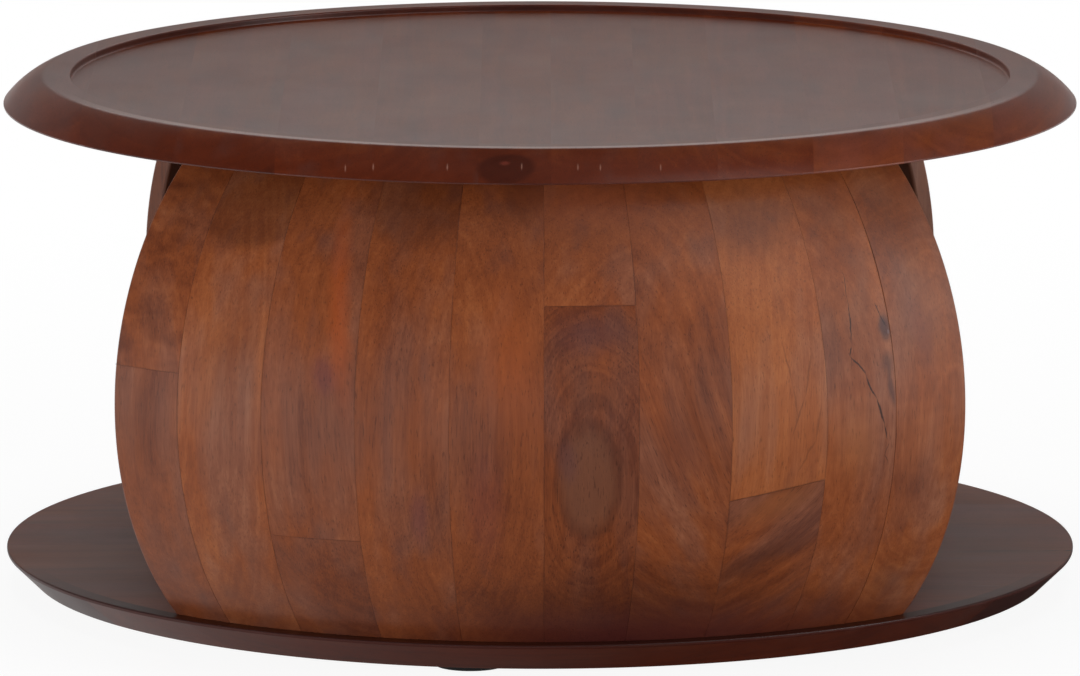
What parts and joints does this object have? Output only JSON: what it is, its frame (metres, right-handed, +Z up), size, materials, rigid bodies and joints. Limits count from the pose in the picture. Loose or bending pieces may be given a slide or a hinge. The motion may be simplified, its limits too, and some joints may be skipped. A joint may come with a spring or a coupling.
{
  "type": "coffee table",
  "caption": "Low round drum table: shallow tray top and undercut base plate of glued boards, joined by two bowed stave panels with open sides.",
  "frame": {"origin": "on the floor, on the table's upright axis, under the middle of the base plate", "axes": "+Z up; -Y towards the middle of the front stave panel; +X to the right when seen from the front, through the open sides"},
  "size_m": [0.8, 0.9002, 0.385],
  "materials": {
    "tray_board_wood": "solid mango wood, stained red-brown, satin lacquer",
    "base_board_wood": "solid mango wood, stained red-brown, satin lacquer",
    "stave_wood": "solid mango wood, stained red-brown, satin lacquer",
    "cleat_wood": "sawn hardwood, stained, dull",
    "screw_steel": "zinc-plated steel",
    "glide_rubber": "black rubber, dull"
  },
  "bodies": {
    "root": {"base_board_01": "base_board_wood", "base_board_02": "base_board_wood", "base_board_03": "base_board_wood", "base_board_04": "base_board_wood", "base_board_05": "base_board_wood", "base_board_06": "base_board_wood", "base_board_07": "base_board_wood", "base_board_08": "base_board_wood", "base_board_09": "base_board_wood", "base_cleat_screws": "screw_steel", "front_base_cleat": "cleat_wood", "front_stave_01_lower": "stave_wood", "front_stave_01_upper": "stave_wood", "front_stave_02": "stave_wood", "front_stave_03_lower": "stave_wood", "front_stave_03_upper": "stave_wood", "front_stave_04": "stave_wood", "front_stave_05": "stave_wood", "front_stave_06_lower": "stave_wood", "front_stave_06_upper": "stave_wood", "front_stave_07": "stave_wood", "front_stave_08_lower": "stave_wood", "front_stave_08_upper": "stave_wood", "front_stave_09": "stave_wood", "front_stave_10": "stave_wood", "front_top_cleat": "cleat_wood", "glide_1": "glide_rubber", "glide_2": "glide_rubber", "glide_3": "glide_rubber", "glide_4": "glide_rubber", "glide_5": "glide_rubber", "glide_screws": "screw_steel", "rear_base_cleat": "cleat_wood", "rear_stave_01": "stave_wood", "rear_stave_02": "stave_wood", "rear_stave_03": "stave_wood", "rear_stave_04_lower": "stave_wood", "rear_stave_04_upper": "stave_wood", "rear_stave_05": "stave_wood", "rear_stave_06": "stave_wood", "rear_stave_07": "stave_wood", "rear_stave_08": "stave_wood", "rear_stave_09_lower": "stave_wood", "rear_stave_09_upper": "stave_wood", "rear_stave_10": "stave_wood", "rear_top_cleat": "cleat_wood", "top_board_01": "tray_board_wood", "top_board_02": "tray_board_wood", "top_board_03": "tray_board_wood", "top_board_04": "tray_board_wood", "top_board_05": "tray_board_wood", "top_board_06": "tray_board_wood", "top_board_07": "tray_board_wood", "top_board_08": "tray_board_wood", "top_board_09": "tray_board_wood", "top_board_10": "tray_board_wood", "top_board_11": "tray_board_wood", "top_board_12": "tray_board_wood", "top_cleat_screws": "screw_steel"}
  },
  "joints": []
}
